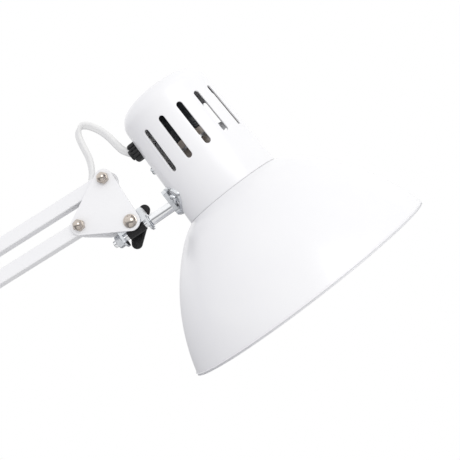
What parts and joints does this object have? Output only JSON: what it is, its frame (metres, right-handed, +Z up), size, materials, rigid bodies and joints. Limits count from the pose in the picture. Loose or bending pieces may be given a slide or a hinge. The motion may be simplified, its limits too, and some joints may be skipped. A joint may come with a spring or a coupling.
{
  "type": "swing arm desk lamp",
  "caption": "White swing arm desk lamp on a desk clamp: two parallelogram arms with springs, a vented cap and a bell shade on a tilting, swivelling steel rod, and a white corded lead.",
  "frame": {"origin": "middle of the clamp's upper jaw face, where it rests on the desk top", "axes": "+Z up, away from the desk top; the arms move in the XZ plane and +X is the way the head reaches over the desk; the desk edge is at x = -0.020"},
  "size_m": [0.5679, 0.1737, 0.7964],
  "materials": {
    "white_paint": "satin enamel",
    "zinc": "bright zinc plate",
    "nickel": "polished nickel",
    "polished_steel": "ground and polished bar",
    "spring_steel": "wound wire",
    "black_plastic": "fine grain",
    "slate_phenolic": "moulded, slight sheen",
    "beige_porcelain": "glazed",
    "black_rubber": "matt",
    "white_flex": "smooth soft vinyl",
    "white_plastic": "moulded",
    "bulb_glass": "pearl",
    "bulb_shell": "rolled thread",
    "blade_brass": "polished"
  },
  "bodies": {
    "clamp": {"clamp_frame": "white_paint", "jaw_liner": "black_rubber", "lead_to_switch": "white_flex", "lead_to_coil": "white_flex", "lead_to_plug": "white_flex", "cord_coil": "white_flex", "switch_base": "white_plastic", "switch_cover": "white_plastic", "plug_body": "white_plastic", "plug_blades": "blade_brass"},
    "pad": {"clamp_pad": "zinc", "pad_liner": "black_rubber"},
    "screw": {"clamp_screw": "zinc", "clamp_knob": "black_plastic"},
    "turret": {"shoulder_bracket": "white_paint", "base_spigot": "zinc", "shoulder_bolts": "zinc", "shoulder_acorn_nuts": "nickel", "shoulder_washers": "white_plastic", "base_cord_clip": "white_plastic"},
    "lower_front": {"lower_bar_front": "white_paint"},
    "lower_rear": {"lower_bar_rear": "white_paint", "lower_tube_cord": "white_flex", "lower_springs": "spring_steel", "base_loop": "white_flex"},
    "elbow": {"elbow_plate_front": "white_paint", "elbow_plate_rear": "white_paint", "elbow_bolts": "zinc", "elbow_acorn_nuts": "nickel", "elbow_washers": "white_plastic", "elbow_cord_clip": "white_plastic", "elbow_loop": "white_flex"},
    "upper_top": {"upper_bar_top": "white_paint", "upper_tube_cord": "white_flex", "upper_springs": "spring_steel"},
    "upper_low": {"upper_bar_low": "white_paint"},
    "end": {"end_plate_front": "white_paint", "end_plate_rear": "white_paint", "end_bolts": "nickel", "end_acorn_nuts": "nickel", "end_washers": "white_plastic"},
    "wing": {"wing_nut": "black_plastic"},
    "yoke": {"yoke": "zinc"},
    "head": {"head_rod": "polished_steel", "rod_washer": "zinc", "rod_bush": "black_plastic", "rod_nuts": "zinc", "head_bracket": "zinc", "cap": "white_paint", "cap_screws": "zinc", "shade": "white_paint", "strain_relief": "black_rubber", "lampholder_strap": "zinc", "lampholder_top": "slate_phenolic", "lampholder_skirt": "beige_porcelain", "bulb_base": "bulb_shell", "bulb_glass": "bulb_glass", "head_lead": "white_flex", "head_loop": "white_flex"},
    "rocker": {"switch_rocker": "white_plastic"}
  },
  "joints": [
    {"name": "clamp_travel", "type": "slide", "parent": "clamp", "child": "pad", "axis": [0, 0, 1], "range_m": [-0.024, 0.019]},
    {"name": "clamp_turn", "type": "hinge", "parent": "pad", "child": "screw", "pos_m": [0, 0, -0.0335], "axis": [0, 0, 1], "range_deg": [-6920, 5480]},
    {"name": "base_swivel", "type": "hinge", "parent": "clamp", "child": "turret", "pos_m": [-0.032, 0, 0], "axis": [0, 0, 1], "range_deg": [-120, 120], "deforming": ["lead_to_switch"]},
    {"name": "shoulder", "type": "hinge", "parent": "turret", "child": "lower_rear", "pos_m": [-0.047, 0, 0.026], "axis": [0, -1, 0], "range_deg": [-45, 30], "deforming": ["lower_springs", "base_loop", "elbow_loop"]},
    {"name": "lower_link", "type": "hinge", "parent": "turret", "child": "lower_front", "pos_m": [-0.017, 0, 0.026], "axis": [0, -1, 0], "range_deg": [-45, 30]},
    {"name": "elbow_level", "type": "hinge", "parent": "lower_rear", "child": "elbow", "pos_m": [-0.14017, 0, 0.37373], "axis": [0, -1, 0], "range_deg": [-30, 45]},
    {"name": "elbow", "type": "hinge", "parent": "elbow", "child": "upper_top", "pos_m": [-0.099, 0, 0.43416], "axis": [0, -1, 0], "range_deg": [-85, 15], "deforming": ["upper_springs", "head_loop"]},
    {"name": "upper_link", "type": "hinge", "parent": "elbow", "child": "upper_low", "pos_m": [-0.11417, 0, 0.40373], "axis": [0, -1, 0], "range_deg": [-85, 15]},
    {"name": "end_level", "type": "hinge", "parent": "upper_top", "child": "end", "pos_m": [0.2115, 0, 0.61633], "axis": [0, -1, 0], "range_deg": [-15, 85]},
    {"name": "wing_nut_turn", "type": "hinge", "parent": "end", "child": "wing", "pos_m": [0.23027, 0, 0.58798], "axis": [0, 1, 0], "range_deg": [-180, 540]},
    {"name": "tilt", "type": "hinge", "parent": "end", "child": "yoke", "pos_m": [0.23027, 0, 0.58798], "axis": [0, -1, 0], "range_deg": [-60, 20]},
    {"name": "head_swivel", "type": "hinge", "parent": "yoke", "child": "head", "pos_m": [0.23327, 0, 0.58337], "axis": [0.8377, 0, 0.5461], "range_deg": [-95, 80]},
    {"name": "switch_tip", "type": "hinge", "parent": "clamp", "child": "rocker", "pos_m": [0.163, 0.044, 0.011], "axis": [0, 1, 0], "range_deg": [0, 8]}
  ],
  "couplings": [
    {"joint": "clamp_turn", "follows": "clamp_travel", "rad_per_m": 5026.5},
    {"joint": "lower_link", "follows": "shoulder", "ratio": 1},
    {"joint": "elbow_level", "follows": "shoulder", "ratio": -1},
    {"joint": "upper_link", "follows": "elbow", "ratio": 1},
    {"joint": "end_level", "follows": "elbow", "ratio": -1}
  ]
}
